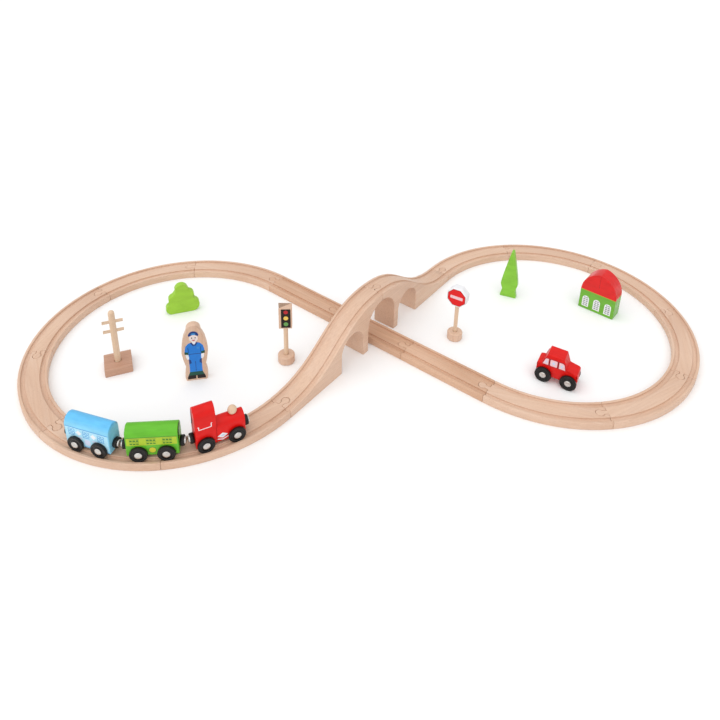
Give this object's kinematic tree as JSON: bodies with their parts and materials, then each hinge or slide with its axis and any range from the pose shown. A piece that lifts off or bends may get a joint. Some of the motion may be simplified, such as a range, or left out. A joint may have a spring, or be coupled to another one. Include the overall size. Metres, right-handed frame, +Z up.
{
  "type": "wooden train set",
  "caption": "Figure-of-eight wooden track with an arched bridge, a locomotive with two magnet-coupled wagons, a car and loose trackside pieces.",
  "frame": {"origin": "on the floor under the crossing of the two lines, the middle of the figure of eight", "axes": "+X along the figure of eight, towards the loop with the car; +Y away from the side where the train stands; +Z up; the bridge runs along +X+Y"},
  "size_m": [1.083, 0.472, 0.104],
  "materials": {
    "beech": "sanded natural beech",
    "beech_dark": "sanded reddish beech",
    "red_paint": "gloss paint on wood",
    "green_paint": "satin paint on wood",
    "blue_paint": "satin paint on wood",
    "black_plastic": "moulded black plastic",
    "steel": "plated steel",
    "white_paint": "satin paint on wood"
  },
  "bodies": {
    "track": {"track_curve_left_1": "beech", "track_curve_left_2": "beech", "track_curve_left_3": "beech", "track_curve_left_4": "beech", "track_curve_left_5": "beech", "track_curve_left_6": "beech", "track_curve_right_1": "beech", "track_curve_right_2": "beech", "track_curve_right_3": "beech", "track_curve_right_4": "beech", "track_curve_right_5": "beech", "track_curve_right_6": "beech", "track_straight_1": "beech", "track_straight_2": "beech", "track_straight_3": "beech", "bridge_half_left": "beech", "bridge_half_right": "beech"},
    "loco": {"loco_body": "red_paint", "loco_funnel": "beech", "loco_coupler_front": "black_plastic", "loco_coupler_rear": "black_plastic"},
    "loco_wheelset_front": {"loco_axle_front": "steel", "loco_wheel_front_left": "black_plastic", "loco_wheel_front_right": "black_plastic"},
    "loco_wheelset_rear": {"loco_axle_rear": "steel", "loco_wheel_rear_left": "black_plastic", "loco_wheel_rear_right": "black_plastic"},
    "green_wagon": {"green_wagon_body": "green_paint", "green_wagon_coupler_front": "black_plastic", "green_wagon_coupler_rear": "black_plastic"},
    "green_wagon_wheelset_front": {"green_wagon_axle_front": "steel", "green_wagon_wheel_front_left": "black_plastic", "green_wagon_wheel_front_right": "black_plastic"},
    "green_wagon_wheelset_rear": {"green_wagon_axle_rear": "steel", "green_wagon_wheel_rear_left": "black_plastic", "green_wagon_wheel_rear_right": "black_plastic"},
    "blue_wagon": {"blue_wagon_body": "blue_paint", "blue_wagon_coupler_front": "black_plastic", "blue_wagon_coupler_rear": "black_plastic"},
    "blue_wagon_wheelset_front": {"blue_wagon_axle_front": "steel", "blue_wagon_wheel_front_left": "black_plastic", "blue_wagon_wheel_front_right": "black_plastic"},
    "blue_wagon_wheelset_rear": {"blue_wagon_axle_rear": "steel", "blue_wagon_wheel_rear_left": "black_plastic", "blue_wagon_wheel_rear_right": "black_plastic"},
    "car": {"car_body": "red_paint"},
    "car_wheelset_front": {"car_wheels_front": "black_plastic"},
    "car_wheelset_rear": {"car_wheels_rear": "black_plastic"},
    "telegraph": {"telegraph_base": "beech_dark", "telegraph_pole": "beech"},
    "traffic_light": {"traffic_light_base": "beech", "traffic_light_post": "beech", "traffic_light_head": "beech"},
    "stop_sign": {"stop_sign_base": "beech", "stop_sign_post": "beech", "stop_sign_plate": "white_paint"},
    "bush_block": {"bush": "green_paint"},
    "tree_block": {"tree": "green_paint"},
    "man_block": {"man": "beech"},
    "house_block": {"house": "green_paint"}
  },
  "joints": [
    {"name": "train_run", "type": "hinge", "parent": "track", "child": "loco", "pos_m": [-0.30547, 0, 0.03], "axis": [0, 0, 1], "range_deg": [-185, 12]},
    {"name": "loco_wheelset_front_roll", "type": "hinge", "parent": "loco", "child": "loco_wheelset_front", "pos_m": [-0.21394, -0.19565, 0.0209], "axis": [-0.3355, 0.9421, 0], "continuous": true},
    {"name": "loco_wheelset_rear_roll", "type": "hinge", "parent": "loco", "child": "loco_wheelset_rear", "pos_m": [-0.25275, -0.20947, 0.0209], "axis": [-0.3355, 0.9421, 0], "continuous": true},
    {"name": "green_wagon_run", "type": "hinge", "parent": "track", "child": "green_wagon", "pos_m": [-0.30547, 0, 0.03], "axis": [0, 0, 1], "range_deg": [-185, 12]},
    {"name": "green_wagon_wheelset_front_roll", "type": "hinge", "parent": "green_wagon", "child": "green_wagon_wheelset_front", "pos_m": [-0.297, -0.21583, 0.0209], "axis": [0.0419, 0.9991, 0], "continuous": true},
    {"name": "green_wagon_wheelset_rear_roll", "type": "hinge", "parent": "green_wagon", "child": "green_wagon_wheelset_rear", "pos_m": [-0.33197, -0.21437, 0.0209], "axis": [0.0419, 0.9991, 0], "continuous": true},
    {"name": "blue_wagon_run", "type": "hinge", "parent": "track", "child": "blue_wagon", "pos_m": [-0.30547, 0, 0.03], "axis": [0, 0, 1], "range_deg": [-185, 12]},
    {"name": "blue_wagon_wheelset_front_roll", "type": "hinge", "parent": "blue_wagon", "child": "blue_wagon_wheelset_front", "pos_m": [-0.37811, -0.20342, 0.0209], "axis": [0.4115, 0.9114, 0], "continuous": true},
    {"name": "blue_wagon_wheelset_rear_roll", "type": "hinge", "parent": "blue_wagon", "child": "blue_wagon_wheelset_rear", "pos_m": [-0.41002, -0.18901, 0.0209], "axis": [0.4115, 0.9114, 0], "continuous": true},
    {"name": "car_drive", "type": "slide", "parent": "track", "child": "car", "axis": [0.8018, -0.5976, 0], "range_m": [-0.08, 0.03]},
    {"name": "car_wheelset_front_roll", "type": "hinge", "parent": "car", "child": "car_wheelset_front", "pos_m": [0.28149, -0.14418, 0.0124], "axis": [0.5976, 0.8018, 0], "continuous": true},
    {"name": "car_wheelset_rear_roll", "type": "hinge", "parent": "car", "child": "car_wheelset_rear", "pos_m": [0.25151, -0.12182, 0.0124], "axis": [0.5976, 0.8018, 0], "continuous": true},
    {"name": "telegraph_lift", "type": "slide", "parent": "track", "child": "telegraph", "axis": [0, 0, 1], "range_m": [0, 0.06]},
    {"name": "traffic_light_lift", "type": "slide", "parent": "track", "child": "traffic_light", "axis": [0, 0, 1], "range_m": [0, 0.06]},
    {"name": "stop_sign_lift", "type": "slide", "parent": "track", "child": "stop_sign", "axis": [0, 0, 1], "range_m": [0, 0.06]},
    {"name": "bush_block_lift", "type": "slide", "parent": "track", "child": "bush_block", "axis": [0, 0, 1], "range_m": [0, 0.06]},
    {"name": "tree_block_lift", "type": "slide", "parent": "track", "child": "tree_block", "axis": [0, 0, 1], "range_m": [0, 0.06]},
    {"name": "man_block_lift", "type": "slide", "parent": "track", "child": "man_block", "axis": [0, 0, 1], "range_m": [0, 0.06]},
    {"name": "house_block_lift", "type": "slide", "parent": "track", "child": "house_block", "axis": [0, 0, 1], "range_m": [0, 0.06]}
  ],
  "couplings": [
    {"joint": "loco_wheelset_front_roll", "follows": "train_run", "ratio": 18.621},
    {"joint": "loco_wheelset_rear_roll", "follows": "train_run", "ratio": 18.621},
    {"joint": "green_wagon_run", "follows": "train_run", "ratio": 1},
    {"joint": "green_wagon_wheelset_front_roll", "follows": "train_run", "ratio": 18.621},
    {"joint": "green_wagon_wheelset_rear_roll", "follows": "train_run", "ratio": 18.621},
    {"joint": "blue_wagon_run", "follows": "train_run", "ratio": 1},
    {"joint": "blue_wagon_wheelset_front_roll", "follows": "train_run", "ratio": 18.621},
    {"joint": "blue_wagon_wheelset_rear_roll", "follows": "train_run", "ratio": 18.621},
    {"joint": "car_wheelset_front_roll", "follows": "car_drive", "rad_per_m": 80.645},
    {"joint": "car_wheelset_rear_roll", "follows": "car_drive", "rad_per_m": 80.645}
  ]
}
